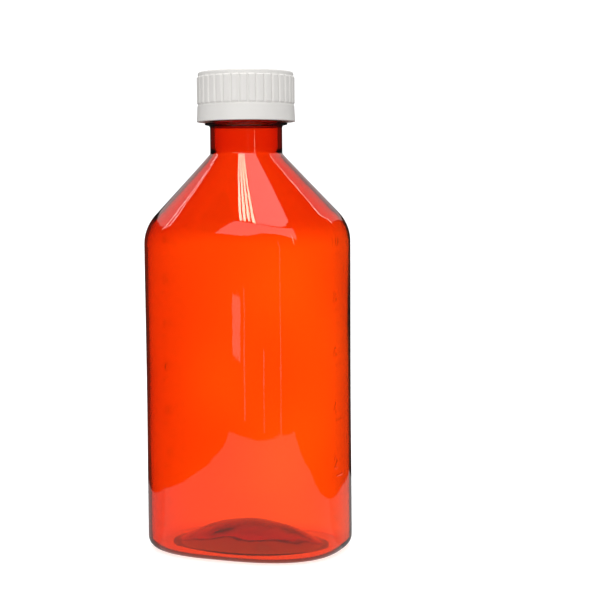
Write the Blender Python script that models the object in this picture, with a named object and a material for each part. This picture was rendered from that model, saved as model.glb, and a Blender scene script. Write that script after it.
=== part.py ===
"""Oval liquid-medicine bottle with a push-down-and-turn child-resistant closure.

The origin is on the surface that the bottle stands on, on the neck's axis. +Z is up, the wide
side of the oval faces -Y, and the narrow ends with the graduations face +X and -X.
"""

import math

import bmesh
import bpy
from mathutils import Vector

MM = 0.001
FLUID_OUNCE = 29.5735e-6

# Body: a superellipse in plan, whose shoulder leans in to the round neck.
BODY_WIDTH = 71.1 * MM
BODY_DEPTH = 55.4 * MM
BODY_HEIGHT = 137.4 * MM
BODY_SQUARENESS = 2.54
BODY_WALL = 0.9 * MM
BODY_WAIST = 0.15 * MM
HEEL_RADIUS = 4.1 * MM
SHOULDER_RADIUS = 13.0 * MM
SHOULDER_HEIGHT = 28.5 * MM
SHOULDER_WALL = 1.2 * MM

# Base: a flat contact ring round a domed push-up, whose wall is thickest in the middle.
BASE_WALL = 1.1 * MM
CONTACT_RING = 5.0 * MM
PUSH_UP_HEIGHT = 7.0 * MM
PUSH_UP_WALL = 2.0 * MM

# Neck and threaded finish.
NECK_DIAMETER = 25.0 * MM
NECK_WALL = 1.6 * MM
NECK_LENGTH = 10.7 * MM
NECK_ROOT_RADIUS = 1.2 * MM
COLLAR_HEIGHT = 0.7 * MM
COLLAR_TAPER = 0.3 * MM
FINISH_HEIGHT = 10.3 * MM
LIP_CHAMFER = 0.4 * MM
THREAD_PITCH = 4.23 * MM
THREAD_DEPTH = 1.2 * MM
THREAD_TURNS = 1.25
THREAD_ROOT_WIDTH = 2.3 * MM
THREAD_TIP_WIDTH = 0.9 * MM
THREAD_TO_MOUTH = 2.1 * MM
THREAD_BITE = 0.4 * MM
THREAD_FADE = math.radians(30.0)

# Raised graduations on the two narrow ends.
GRADUATION_FIRST_Z = 28.1 * MM
OUNCE_STEP = 2.0 * FLUID_OUNCE
MILLILITRE_STEP = 50.0e-6
MARK_LENGTH = 4.0 * MM
MARK_OFFSET = 4.8 * MM
MARK_WIDTH = 0.6 * MM
MARK_RELIEF = 0.3 * MM
MARK_BITE = 0.5 * MM

# Clearances between the pieces.
PIECE_GAP = 0.3 * MM
THREAD_GAP = 0.35 * MM
SLIP_GAP = 0.5 * MM
SKIRT_GAP = 1.3 * MM
COLLAR_GAP = 0.35 * MM
LUG_GAP = 0.4 * MM

# Closure: a ribbed outer cap over a threaded inner cap, with a spring ring and a liner.
LINER_THICKNESS = 1.0 * MM
INNER_CAP_WALL = 0.9 * MM
INNER_CAP_TOP = 1.2 * MM
INNER_THREAD_TURNS = 1.0
PRESS_TRAVEL = 1.2 * MM
LUG_COUNT = 12
LUG_ANGLE = math.radians(12.0)
LUG_RAMP = 0.45
LUG_LENGTH = 3.6 * MM
LUG_INSET = 2.15 * MM
LUG_BITE = 0.3 * MM
OUTER_CAP_TOP = 1.4 * MM
OUTER_CAP_WALL = 1.2 * MM
OUTER_CAP_FLARE = 0.39 * MM
OUTER_CAP_EDGE = 1.6 * MM
BAND_HEIGHT = 5.8 * MM
RIB_COUNT = 36
RIB_HEIGHT = 0.25 * MM
RIB_GROOVE_SHARE = 0.3
RETAINER_HEIGHT = 0.7 * MM
RETAINER_HOOK = 0.3 * MM

# Spring ring: a flat ring with raised leaves, inside the ring of lugs.
SPRING_WIDTH = 3.2 * MM
SPRING_GAP = 1.0 * MM
SPRING_THICKNESS = 0.6 * MM
LEAF_COUNT = 6
LEAF_ANGLE = math.radians(46.0)
LEAF_MARGIN = 0.5 * MM

# Facets.
BOTTLE_SIDES = 48
CAP_SIDES = 48
THREAD_STEPS_PER_TURN = 48

# Radii that follow from the sizes above.
HALF_WIDTH = BODY_WIDTH / 2
HALF_DEPTH = BODY_DEPTH / 2
NECK_RADIUS = NECK_DIAMETER / 2
BORE_RADIUS = NECK_RADIUS - NECK_WALL
INNER_CAP_BORE = NECK_RADIUS + THREAD_DEPTH + THREAD_GAP
INNER_CAP_RADIUS = INNER_CAP_BORE + INNER_CAP_WALL
LINER_RADIUS = INNER_CAP_BORE - PIECE_GAP
LUG_OUTER_RADIUS = INNER_CAP_RADIUS - LUG_INSET
LUG_INNER_RADIUS = LUG_OUTER_RADIUS - LUG_LENGTH
SPRING_OUTER_RADIUS = LUG_INNER_RADIUS - SPRING_GAP
SPRING_INNER_RADIUS = SPRING_OUTER_RADIUS - SPRING_WIDTH
OUTER_BORE = INNER_CAP_RADIUS + SLIP_GAP
BAND_TOP_RADIUS = OUTER_BORE + OUTER_CAP_WALL
BAND_BOTTOM_RADIUS = BAND_TOP_RADIUS + OUTER_CAP_FLARE
RETAINER_RADIUS = INNER_CAP_RADIUS - RETAINER_HOOK
COLLAR_RADIUS = RETAINER_RADIUS - COLLAR_GAP

# Levels, from the neck upwards. Pushed down, the lugs of the two caps reach into each other.
LUG_HEIGHT = PRESS_TRAVEL
SHOULDER_FOOT_Z = BODY_HEIGHT - SHOULDER_HEIGHT
COLLAR_TOP_Z = BODY_HEIGHT + NECK_LENGTH
MOUTH_Z = COLLAR_TOP_Z + FINISH_HEIGHT
THREAD_START_Z = MOUTH_Z - THREAD_TO_MOUTH - THREAD_PITCH * THREAD_TURNS
LINER_Z = MOUTH_Z + PIECE_GAP
INNER_SKIRT_Z = COLLAR_TOP_Z + SKIRT_GAP
INNER_CEILING_Z = LINER_Z + LINER_THICKNESS + PIECE_GAP
INNER_TOP_Z = INNER_CEILING_Z + INNER_CAP_TOP
OUTER_CEILING_Z = INNER_TOP_Z + 2 * LUG_HEIGHT + LUG_GAP
OUTER_TOP_Z = OUTER_CEILING_Z + OUTER_CAP_TOP
RETAINER_TOP_Z = INNER_SKIRT_Z - PIECE_GAP
OUTER_SKIRT_Z = RETAINER_TOP_Z - RETAINER_HEIGHT
BAND_TOP_Z = OUTER_SKIRT_Z + BAND_HEIGHT

COLORS = {
    "bottle": (0.80, 0.05, 0.004, 1.0),
    "liner": (0.86, 0.86, 0.83, 1.0),
    "inner_cap": (0.80, 0.80, 0.78, 1.0),
    "spring_ring": (0.74, 0.75, 0.74, 1.0),
    "outer_cap": (0.84, 0.84, 0.83, 1.0),
}
ROUGHNESS = {"bottle": 0.08, "liner": 0.7, "inner_cap": 0.45, "spring_ring": 0.4, "outer_cap": 0.42}


# --- Small tools -----------------------------------------------------------------------------


def clear_scene():
    for obj in list(bpy.data.objects):
        bpy.data.objects.remove(obj, do_unlink=True)


def material(name):
    made = bpy.data.materials.new(name)
    made.use_nodes = True
    shader = made.node_tree.nodes["Principled BSDF"]
    shader.inputs["Base Color"].default_value = COLORS[name]
    shader.inputs["Roughness"].default_value = ROUGHNESS[name]
    shader.inputs["Metallic"].default_value = 0.0
    made.diffuse_color = COLORS[name]
    return made


def add_object(name, bm, shaded=True):
    """A new object from a bmesh, its normals facing out."""
    bmesh.ops.recalc_face_normals(bm, faces=bm.faces)
    mesh = bpy.data.meshes.new(name)
    bm.to_mesh(mesh)
    bm.free()
    obj = bpy.data.objects.new(name, mesh)
    bpy.context.scene.collection.objects.link(obj)
    if shaded:
        mesh.shade_smooth()
        mesh.set_sharp_from_angle(angle=math.radians(35.0))
    return obj


def add_tool(name, bm):
    """A helper solid that a Boolean joins to a piece."""
    tool = add_object(name, bm, shaded=False)
    tool.hide_render = True
    tool.display_type = "WIRE"
    return tool


def union(obj, tool):
    joined = obj.modifiers.new(tool.name, "BOOLEAN")
    joined.operation = "UNION"
    joined.solver = "EXACT"
    joined.object = tool


def arc(center_r, center_z, radius, start, end, steps):
    """Points (r, z) on an arc, counted from start to end in radians."""
    angles = [start + (end - start) * i / steps for i in range(steps + 1)]
    return [(center_r + radius * math.cos(a), center_z + radius * math.sin(a)) for a in angles]


def turned(profile_at, sides):
    """A closed solid lofted round the axis.

    profile_at(angle) gives (r, z) points from the axis round to the axis again. Every angle
    gives the same number of points, and the first and last have r = 0.
    """
    bm = bmesh.new()
    columns = []
    for i in range(sides):
        angle = 2 * math.pi * i / sides
        outline = profile_at(angle)
        columns.append([
            bm.verts.new((r * math.cos(angle), r * math.sin(angle), z)) for r, z in outline[1:-1]
        ])
    start = bm.verts.new((0, 0, profile_at(0)[0][1]))
    end = bm.verts.new((0, 0, profile_at(0)[-1][1]))
    for here, there in zip(columns, columns[1:] + columns[:1]):
        bm.faces.new((start, here[0], there[0]))
        bm.faces.new((end, there[-1], here[-1]))
        for low, high in zip(range(len(here) - 1), range(1, len(here))):
            bm.faces.new((here[low], here[high], there[high], there[low]))
    return bm


def sweep(bm, sections):
    """Joins sections, each a list of points of one closed outline, into a capped tube."""
    rings = [[bm.verts.new(point) for point in section] for section in sections]
    for here, there in zip(rings, rings[1:]):
        for i in range(len(here)):
            k = (i + 1) % len(here)
            bm.faces.new((here[i], here[k], there[k], there[i]))
    bm.faces.new(rings[0])
    bm.faces.new(rings[-1])


def polar(radius, angle, z):
    return Vector((radius * math.cos(angle), radius * math.sin(angle), z))


# --- Bottle ----------------------------------------------------------------------------------


def oval_radius(angle, half_width, half_depth, squareness):
    across = abs(math.cos(angle) / half_width) ** squareness
    deep = abs(math.sin(angle) / half_depth) ** squareness
    return (across + deep) ** (-1 / squareness)


def lean_for(body_radius):
    """Lean from the vertical of a straight shoulder of the full height, for this body radius."""
    across = body_radius - SHOULDER_RADIUS - NECK_RADIUS
    reach = math.hypot(across, SHOULDER_HEIGHT)
    return math.atan2(across, SHOULDER_HEIGHT) + math.asin(SHOULDER_RADIUS / reach)


def shoulder_lean(angle):
    """The lean at this angle. It passes from the ends' to the wide sides' as an ellipse does."""
    ends = math.tan(lean_for(HALF_WIDTH))
    sides = math.tan(lean_for(HALF_DEPTH))
    return math.atan(1 / math.hypot(math.cos(angle) / ends, math.sin(angle) / sides))


def shoulder_root(lean, inset):
    """Radius at the neck's root of a shoulder set this far inside the outer one."""
    return NECK_RADIUS - inset / math.cos(lean)


def shoulder_foot(body_radius, corner_radius, lean, inset):
    """Height where the side starts to round into a shoulder set this far inside the outer one."""
    tangent_r = body_radius - corner_radius * (1 - math.cos(lean))
    tangent_z = BODY_HEIGHT - (tangent_r - shoulder_root(lean, inset)) / math.tan(lean)
    return tangent_z - corner_radius * math.sin(lean)


def waist(z):
    """How far the side is drawn in at this height."""
    share = min(max((z - HEEL_RADIUS) / (SHOULDER_FOOT_Z - HEEL_RADIUS), 0.0), 1.0)
    return BODY_WAIST * math.sin(math.pi * share) ** 2


def body_profile(angle, inset, floor_z):
    """Points up one side: push-up, contact ring, heel, side and shoulder rounding."""
    radius = oval_radius(angle, HALF_WIDTH - inset, HALF_DEPTH - inset, BODY_SQUARENESS)
    heel = HEEL_RADIUS - inset
    corner = SHOULDER_RADIUS - inset
    lean = shoulder_lean(angle)
    foot = shoulder_foot(radius, corner, lean, SHOULDER_WALL if inset else 0.0)
    rim = oval_radius(
        angle,
        HALF_WIDTH - HEEL_RADIUS - CONTACT_RING,
        HALF_DEPTH - HEEL_RADIUS - CONTACT_RING,
        2.0,
    )
    rise = PUSH_UP_HEIGHT + (PUSH_UP_WALL - BASE_WALL if inset else 0.0)
    points = [(0.0, floor_z + rise)]
    for share in (0.3, 0.55, 0.8, 1.0):
        points.append((rim * share, floor_z + rise * (1 - share**2)))
    points += arc(radius - heel, floor_z + heel, heel, -math.pi / 2, 0, 4)
    for share in (0.2, 0.4, 0.6, 0.8):
        z = floor_z + heel + (foot - floor_z - heel) * share
        points.append((radius - waist(z), z))
    points += arc(radius - corner, foot, corner, 0, lean, 5)
    return points


def bottle_profile(angle):
    """From the push-up's underside, up the outside, over the lip and down the inside."""
    outside = body_profile(angle, 0.0, 0.0)
    lean = shoulder_lean(angle)
    neck_root = arc(
        NECK_RADIUS + NECK_ROOT_RADIUS,
        BODY_HEIGHT + NECK_ROOT_RADIUS * math.tan(lean / 2),
        NECK_ROOT_RADIUS,
        math.pi + lean,
        math.pi,
        3,
    )
    collar_foot = COLLAR_TOP_Z - COLLAR_HEIGHT
    finish = [
        (NECK_RADIUS, collar_foot - COLLAR_TAPER),
        (COLLAR_RADIUS, collar_foot),
        (COLLAR_RADIUS, COLLAR_TOP_Z),
        (NECK_RADIUS, COLLAR_TOP_Z),
        (NECK_RADIUS, MOUTH_Z - LIP_CHAMFER),
        (NECK_RADIUS - LIP_CHAMFER, MOUTH_Z),
        (BORE_RADIUS, MOUTH_Z),
    ]
    inside = body_profile(angle, BODY_WALL, BASE_WALL)
    throat_drop = (BORE_RADIUS - shoulder_root(lean, SHOULDER_WALL)) / math.tan(lean)
    throat = [(BORE_RADIUS, BODY_HEIGHT - throat_drop)]
    return outside + neck_root + finish + throat + inside[::-1]


def thread_half_width(height):
    """Half the ridge's width at this height above its root."""
    share = height / THREAD_DEPTH
    return (THREAD_ROOT_WIDTH + (THREAD_TIP_WIDTH - THREAD_ROOT_WIDTH) * share) / 2


def thread_ridge(name, turns, root_radius, outward, start_angle, start_z):
    """A helical ridge on a cylinder, facing out (outward = 1) or in (outward = -1)."""
    bm = bmesh.new()
    steps = round(turns * THREAD_STEPS_PER_TURN)
    swept = 2 * math.pi * turns
    sections = []
    for i in range(steps + 1):
        turned_by = swept * i / steps
        angle = start_angle + turned_by
        z = start_z + THREAD_PITCH * turned_by / (2 * math.pi)
        fade = min(1.0, turned_by / THREAD_FADE - 0.25, (swept - turned_by) / THREAD_FADE - 0.25)
        tip = root_radius + outward * THREAD_DEPTH * fade
        back = root_radius - outward * THREAD_BITE
        wide = thread_half_width(-THREAD_BITE)
        narrow = thread_half_width(THREAD_DEPTH)
        sections.append([
            polar(back, angle, z - wide),
            polar(back, angle, z + wide),
            polar(tip, angle, z + narrow),
            polar(tip, angle, z - narrow),
        ])
    sweep(bm, sections)
    return add_tool(name, bm)


def side_point(angle, z):
    """A point on the outside of the body's upright side."""
    radius = oval_radius(angle, HALF_WIDTH, HALF_DEPTH, BODY_SQUARENESS)
    return polar(radius - waist(z), angle, z)


def inner_area():
    """Area of the oval inside the walls."""
    n = BODY_SQUARENESS
    shape = 4 * math.gamma(1 + 1 / n) ** 2 / math.gamma(1 + 2 / n)
    return shape * (HALF_WIDTH - BODY_WALL) * (HALF_DEPTH - BODY_WALL)


def graduation_heights(step):
    """Heights of the marks, this volume apart, up to the shoulder."""
    rise = step / inner_area()
    first = GRADUATION_FIRST_Z + (step - OUNCE_STEP) / inner_area()
    top = SHOULDER_FOOT_Z - MARK_WIDTH
    return [first + rise * i for i in range(int((top - first) / rise) + 1)]


def graduation_marks():
    """Short raised bars, beside the middle of each narrow end."""
    bm = bmesh.new()
    for step, turned_by in ((OUNCE_STEP, 0.0), (MILLILITRE_STEP, math.pi)):
        near = (MARK_OFFSET - MARK_LENGTH / 2) / HALF_WIDTH
        far = (MARK_OFFSET + MARK_LENGTH / 2) / HALF_WIDTH
        for z in graduation_heights(step):
            start = side_point(turned_by - far, z)
            end = side_point(turned_by - near, z)
            along = (end - start).normalized()
            out = along.cross(Vector((0, 0, 1)))
            up = Vector((0, 0, MARK_WIDTH / 2))
            sweep(bm, [
                [
                    at - out * MARK_BITE - up,
                    at - out * MARK_BITE + up,
                    at + out * MARK_RELIEF + up / 2,
                    at + out * MARK_RELIEF - up / 2,
                ]
                for at in (start, end)
            ])
    return add_tool("graduation_marks", bm)


def make_bottle():
    bottle = add_object("bottle", turned(bottle_profile, BOTTLE_SIDES))
    ridge = thread_ridge("finish_thread", THREAD_TURNS, NECK_RADIUS, 1, 0.0, THREAD_START_Z)
    union(bottle, ridge)
    union(bottle, graduation_marks())
    return bottle


# --- Closure ---------------------------------------------------------------------------------


def make_liner():
    outline = [
        (0.0, LINER_Z),
        (LINER_RADIUS, LINER_Z),
        (LINER_RADIUS, LINER_Z + LINER_THICKNESS),
        (0.0, LINER_Z + LINER_THICKNESS),
    ]
    return add_object("liner", turned(lambda angle: outline, CAP_SIDES))


def ratchet_lugs(name, base_z, upward, phase):
    """Lugs on a flat face, each with one upright side and one sloping side."""
    bm = bmesh.new()
    for i in range(LUG_COUNT):
        middle = phase + 2 * math.pi * i / LUG_COUNT
        sections = []
        for side, height in ((-upward, LUG_HEIGHT), (0, LUG_HEIGHT), (upward, LUG_HEIGHT * LUG_RAMP)):
            angle = middle + side * LUG_ANGLE / 2
            low = base_z - upward * LUG_BITE
            high = base_z + upward * height
            sections.append([
                polar(LUG_INNER_RADIUS, angle, low),
                polar(LUG_OUTER_RADIUS, angle, low),
                polar(LUG_OUTER_RADIUS, angle, high),
                polar(LUG_INNER_RADIUS, angle, high),
            ])
        sweep(bm, sections)
    return add_tool(name, bm)


def make_inner_cap():
    corner = INNER_CAP_WALL / 2
    outline = [
        (0.0, INNER_CEILING_Z),
        (INNER_CAP_BORE, INNER_CEILING_Z),
        (INNER_CAP_BORE, INNER_SKIRT_Z),
        (INNER_CAP_RADIUS, INNER_SKIRT_Z),
        (INNER_CAP_RADIUS, INNER_TOP_Z - corner),
        (INNER_CAP_RADIUS - corner, INNER_TOP_Z),
        (0.0, INNER_TOP_Z),
    ]
    inner_cap = add_object("inner_cap", turned(lambda angle: outline, CAP_SIDES))
    # The ridge lies just under the finish's ridge and starts inside the skirt.
    drop = thread_half_width(THREAD_DEPTH / 2) * 2 + THREAD_GAP
    start_z = INNER_SKIRT_Z + THREAD_ROOT_WIDTH / 2
    start_angle = 2 * math.pi * (start_z + drop - THREAD_START_Z) / THREAD_PITCH
    ridge = thread_ridge(
        "inner_cap_thread", INNER_THREAD_TURNS, INNER_CAP_BORE, -1, start_angle, start_z
    )
    union(inner_cap, ridge)
    union(inner_cap, ratchet_lugs("inner_cap_lugs", INNER_TOP_Z, 1, 0.0))
    return inner_cap


def make_spring_ring():
    """A flat ring on the inner cap, with leaves that hold the outer cap up."""
    floor_z = INNER_TOP_Z + PIECE_GAP
    ring_top = floor_z + SPRING_THICKNESS
    leaf_top = OUTER_CEILING_Z - PIECE_GAP
    outline = [
        (SPRING_INNER_RADIUS, floor_z),
        (SPRING_OUTER_RADIUS, floor_z),
        (SPRING_OUTER_RADIUS, ring_top),
        (SPRING_INNER_RADIUS, ring_top),
    ]
    bm = bmesh.new()
    columns = []
    for i in range(CAP_SIDES):
        angle = 2 * math.pi * i / CAP_SIDES
        columns.append([bm.verts.new(polar(r, angle, z)) for r, z in outline])
    for here, there in zip(columns, columns[1:] + columns[:1]):
        for i in range(len(here)):
            k = (i + 1) % len(here)
            bm.faces.new((here[i], here[k], there[k], there[i]))
    spring = add_object("spring_ring", bm)

    leaves = bmesh.new()
    leaf_steps = 5
    for i in range(LEAF_COUNT):
        start = 2 * math.pi * i / LEAF_COUNT
        sections = []
        for step in range(leaf_steps + 1):
            share = step / leaf_steps
            rise = (3 - 2 * share) * share**2
            angle = start + LEAF_ANGLE * share
            high = ring_top + (leaf_top - ring_top) * rise
            low = high - SPRING_THICKNESS * (1 - 0.25 * share)
            sections.append([
                polar(SPRING_INNER_RADIUS + LEAF_MARGIN, angle, low),
                polar(SPRING_OUTER_RADIUS - LEAF_MARGIN, angle, low),
                polar(SPRING_OUTER_RADIUS - LEAF_MARGIN, angle, high),
                polar(SPRING_INNER_RADIUS + LEAF_MARGIN, angle, high),
            ])
        sweep(leaves, sections)
    union(spring, add_tool("spring_leaves", leaves))
    return spring


def rib_corners():
    """(angle, depth share) of the ribbed wall's corners: a wide crest and a V groove each."""
    corners = []
    pitch = 2 * math.pi / RIB_COUNT
    for i in range(RIB_COUNT):
        start = i * pitch
        corners.append((start, 0.0))
        corners.append((start + pitch * (1 - RIB_GROOVE_SHARE), 0.0))
        corners.append((start + pitch * (1 - RIB_GROOVE_SHARE / 2), 1.0))
    return corners


def outer_cap_profile(depth_share):
    """From the top's middle down the outside and up the inside, at a crest (0) or a groove (1)."""
    crest = BAND_TOP_RADIUS + RIB_HEIGHT
    groove = crest - 2 * RIB_HEIGHT * depth_share
    fade = crest - RIB_HEIGHT * depth_share
    edge = OUTER_CAP_EDGE
    return [
        (0.0, OUTER_TOP_Z),
        (crest - edge, OUTER_TOP_Z),
        (fade - edge * 0.45, OUTER_TOP_Z - edge * 0.12),
        (groove - edge * 0.12, OUTER_TOP_Z - edge * 0.45),
        (groove, OUTER_TOP_Z - edge),
        (groove, BAND_TOP_Z + RIB_HEIGHT),
        (BAND_TOP_RADIUS, BAND_TOP_Z),
        (BAND_TOP_RADIUS + OUTER_CAP_FLARE / 2, BAND_TOP_Z - BAND_HEIGHT * 0.6),
        (BAND_BOTTOM_RADIUS, OUTER_SKIRT_Z),
        (RETAINER_RADIUS, OUTER_SKIRT_Z),
        (RETAINER_RADIUS, RETAINER_TOP_Z),
        (OUTER_BORE, RETAINER_TOP_Z),
        (OUTER_BORE, OUTER_CEILING_Z),
        (0.0, OUTER_CEILING_Z),
    ]


def make_outer_cap():
    bm = bmesh.new()
    columns = []
    for angle, depth_share in rib_corners():
        outline = outer_cap_profile(depth_share)[1:-1]
        columns.append([bm.verts.new(polar(r, angle, z)) for r, z in outline])
    top = bm.verts.new((0, 0, OUTER_TOP_Z))
    ceiling = bm.verts.new((0, 0, OUTER_CEILING_Z))
    for here, there in zip(columns, columns[1:] + columns[:1]):
        bm.faces.new((top, here[0], there[0]))
        bm.faces.new((ceiling, there[-1], here[-1]))
        for i in range(len(here) - 1):
            bm.faces.new((here[i], here[i + 1], there[i + 1], there[i]))
    outer_cap = add_object("outer_cap", bm)
    half_pitch = math.pi / LUG_COUNT
    union(outer_cap, ratchet_lugs("outer_cap_lugs", OUTER_CEILING_Z, -1, half_pitch))
    return outer_cap


def main():
    clear_scene()
    for make in (make_bottle, make_liner, make_inner_cap, make_spring_ring, make_outer_cap):
        piece = make()
        piece.data.materials.append(material(piece.name))


main()
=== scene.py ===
"""Looks of an oval liquid-medicine bottle in clear orange-red plastic with a white safety cap."""

import math

import bpy
import numpy as np
from mathutils import Matrix, Vector


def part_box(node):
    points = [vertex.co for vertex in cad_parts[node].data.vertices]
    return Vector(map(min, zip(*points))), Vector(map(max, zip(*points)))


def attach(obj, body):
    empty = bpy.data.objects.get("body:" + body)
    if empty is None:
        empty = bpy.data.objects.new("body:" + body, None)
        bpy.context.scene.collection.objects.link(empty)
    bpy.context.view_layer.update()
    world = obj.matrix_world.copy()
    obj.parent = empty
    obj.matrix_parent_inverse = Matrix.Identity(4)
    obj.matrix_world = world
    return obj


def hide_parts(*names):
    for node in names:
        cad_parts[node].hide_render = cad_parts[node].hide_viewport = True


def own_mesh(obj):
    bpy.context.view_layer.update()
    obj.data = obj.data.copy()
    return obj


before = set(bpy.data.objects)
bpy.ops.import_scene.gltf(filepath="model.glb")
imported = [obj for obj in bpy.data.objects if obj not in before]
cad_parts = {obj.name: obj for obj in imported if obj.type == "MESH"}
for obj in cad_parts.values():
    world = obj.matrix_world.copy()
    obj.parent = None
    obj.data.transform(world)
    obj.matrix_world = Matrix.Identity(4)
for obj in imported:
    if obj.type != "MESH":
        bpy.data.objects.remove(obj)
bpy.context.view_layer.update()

MM = 0.001

# --- Sizes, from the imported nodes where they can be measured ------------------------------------

BOTTLE_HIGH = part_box("bottle")[1]
OUTER_LOW, OUTER_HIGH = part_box("outer_cap")
INNER_LOW, INNER_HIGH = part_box("inner_cap")
LINER_LOW, LINER_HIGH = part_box("liner")
SPRING_LOW, SPRING_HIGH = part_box("spring_ring")

HALF_DEPTH = BOTTLE_HIGH.y
CAD_MARK_RELIEF = 0.25 * MM
HALF_WIDTH = BOTTLE_HIGH.x - CAD_MARK_RELIEF
MOUTH_Z = BOTTLE_HIGH.z
SQUARENESS = 2.54
BODY_WALL = 0.9 * MM
BODY_WAIST = 0.15 * MM
HEEL_RADIUS = 4.1 * MM
SHOULDER_RADIUS = 13.0 * MM
SHOULDER_WALL = 1.2 * MM
FINISH_HEIGHT = 21.0 * MM
SHOULDER_TOP_Z = MOUTH_Z - FINISH_HEIGHT
SHOULDER_HEIGHT = 28.5 * MM
SHOULDER_FOOT_Z = SHOULDER_TOP_Z - SHOULDER_HEIGHT
BASE_WALL = 1.1 * MM
CONTACT_RING = 5.0 * MM
PUSH_UP_HEIGHT = 7.0 * MM
PUSH_UP_WALL = 2.0 * MM
PARISON_SHIFT = 0.15 * MM
NECK_RADIUS = 12.5 * MM
BORE_RADIUS = 10.9 * MM
NECK_ROOT_RADIUS = 1.2 * MM
THROAT_RADIUS = 2.5 * MM
COLLAR_RADIUS = 14.3 * MM
COLLAR_DROP = 10.3 * MM
COLLAR_TOP_Z = MOUTH_Z - COLLAR_DROP
COLLAR_HEIGHT = 0.7 * MM
COLLAR_TAPER = 0.3 * MM
THREAD_PITCH = 4.23 * MM
THREAD_DEPTH = 1.2 * MM
THREAD_ROOT_WIDTH = 2.3 * MM
THREAD_TIP_WIDTH = 0.9 * MM
THREAD_TURNS = 1.25
THREAD_DROP = 2.1 * MM
THREAD_START_Z = MOUTH_Z - THREAD_DROP - THREAD_PITCH * THREAD_TURNS
THREAD_FADE = math.radians(30.0)
THREAD_GAP = 0.35 * MM
THREAD_ROW = 0.14 * MM
WALL_RIPPLE = 0.035 * MM
RIPPLE_RADIUS = 12.0 * MM
PUSH_UP_FLOW = 0.16 * MM

INNER_CAP_BORE = NECK_RADIUS + THREAD_DEPTH + THREAD_GAP
INNER_CAP_RADIUS = INNER_HIGH.x
LUG_HEIGHT = 1.2 * MM
LUG_COUNT = 12
LUG_ANGLE = math.radians(12.0)
LUG_RAMP = 0.45
LUG_RIM = 2.15 * MM
LUG_LENGTH = 3.6 * MM
LUG_MARGIN = 0.4 * MM
LUG_ROUNDING = 0.3 * MM
LUG_OUTER_RADIUS = INNER_CAP_RADIUS - LUG_RIM
LUG_INNER_RADIUS = LUG_OUTER_RADIUS - LUG_LENGTH
INNER_TOP_Z = INNER_HIGH.z - LUG_HEIGHT
INNER_CAP_TOP_WALL = 1.2 * MM
INNER_CEILING_Z = INNER_TOP_Z - INNER_CAP_TOP_WALL

RIB_COUNT = 36
RIB_HEIGHT = 0.25 * MM
RIB_TOP_DROP = 1.5 * MM
GROOVE_DEPTH = 0.15 * MM
BAND_BOTTOM_RADIUS = OUTER_HIGH.x
BAND_TAPER = 0.39 * MM
BAND_HEIGHT = 5.8 * MM
BAND_TOP_RADIUS = BAND_BOTTOM_RADIUS - BAND_TAPER
BAND_TOP_Z = OUTER_LOW.z + BAND_HEIGHT
OUTER_CAP_WALL = 1.2 * MM
OUTER_CAP_TOP_WALL = 1.4 * MM
OUTER_BORE = BAND_TOP_RADIUS - OUTER_CAP_WALL
OUTER_CEILING_Z = OUTER_HIGH.z - OUTER_CAP_TOP_WALL
RETAINER_REACH = 0.3 * MM
RETAINER_HEIGHT = 0.7 * MM
RETAINER_RADIUS = INNER_CAP_RADIUS - RETAINER_REACH
RETAINER_TOP_Z = OUTER_LOW.z + RETAINER_HEIGHT

LIP_DENT = 0.12 * MM
LIP_DENT_WIDTH = 0.7 * MM
SPRING_WIDTH = 3.2 * MM
LEAF_COUNT = 6
LEAF_ANGLE = math.radians(46.0)
LEAF_THICKNESS = 0.6 * MM
LEAF_THINNING = 0.25
LEAF_MARGIN = 0.5 * MM

# Volumes between marks, in cubic metres: 2 fl oz and 50 ml.
OUNCE_STEP = 2 * 29.5735e-6
MILLILITRE_STEP = 50.0e-6
GRADUATION_FIRST_Z = 28.1 * MM
MARK_LENGTH = 4.0 * MM
MARK_OFFSET = 4.8 * MM
MARK_WIDTH = 0.6 * MM
MARK_RELIEF = 0.07 * MM
NUMERAL_HEIGHT = 3.5 * MM
NUMERAL_WIDTH = 2.3 * MM
NUMERAL_ADVANCE = NUMERAL_WIDTH * 1.25
NUMERAL_STROKE = 0.5 * MM
NUMERAL_OFFSET = 7.3 * MM
NUMERAL_RISE = 4.5 * MM
SEAM_RELIEF = 0.02 * MM
SEAM_WIDTH = 0.35 * MM


# --- Mesh tools -----------------------------------------------------------------------------------


def arc(center_r, center_z, radius, start, end, steps):
    """(r, z) points on an arc, from start to end in radians, both included."""
    return [
        (center_r + radius * math.cos(a), center_z + radius * math.sin(a))
        for a in np.linspace(start, end, steps + 1)
    ]


def rounded(corners, radius, steps=4, straight=MM):
    """Points along an outline of (r, z) corners, with every inner corner rounded.

    A corner may carry its own radius as a third number. Long straights get a point about
    every `straight` metres.
    """
    points = [np.array(corners[0][:2], float)]
    for before, here, after in zip(corners, corners[1:], corners[2:]):
        own = here[2] if len(here) > 2 else radius
        a, b, c = (np.array(p[:2], float) for p in (before, here, after))
        to_a, to_c = a - b, c - b
        reach = min(np.linalg.norm(to_a), np.linalg.norm(to_c)) * 0.49
        to_a, to_c = to_a / np.linalg.norm(to_a), to_c / np.linalg.norm(to_c)
        half = math.acos(max(-1.0, min(1.0, float(to_a @ to_c)))) / 2
        cut = min(own / math.tan(half), reach) if own else 0.0
        if cut < 1e-7 or abs(half - math.pi / 2) < 1e-3:
            points.append(b)
            continue
        for s in np.linspace(0, 1, steps + 1):
            points.append((1 - s) ** 2 * (b + to_a * cut) + 2 * s * (1 - s) * b + s**2 * (b + to_c * cut))
    points.append(np.array(corners[-1][:2], float))
    dense = [points[0]]
    for here, there in zip(points, points[1:]):
        count = max(1, math.ceil(np.linalg.norm(there - here) / straight))
        dense += [here + (there - here) * (i + 1) / count for i in range(count)]
    return np.array(dense)


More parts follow.
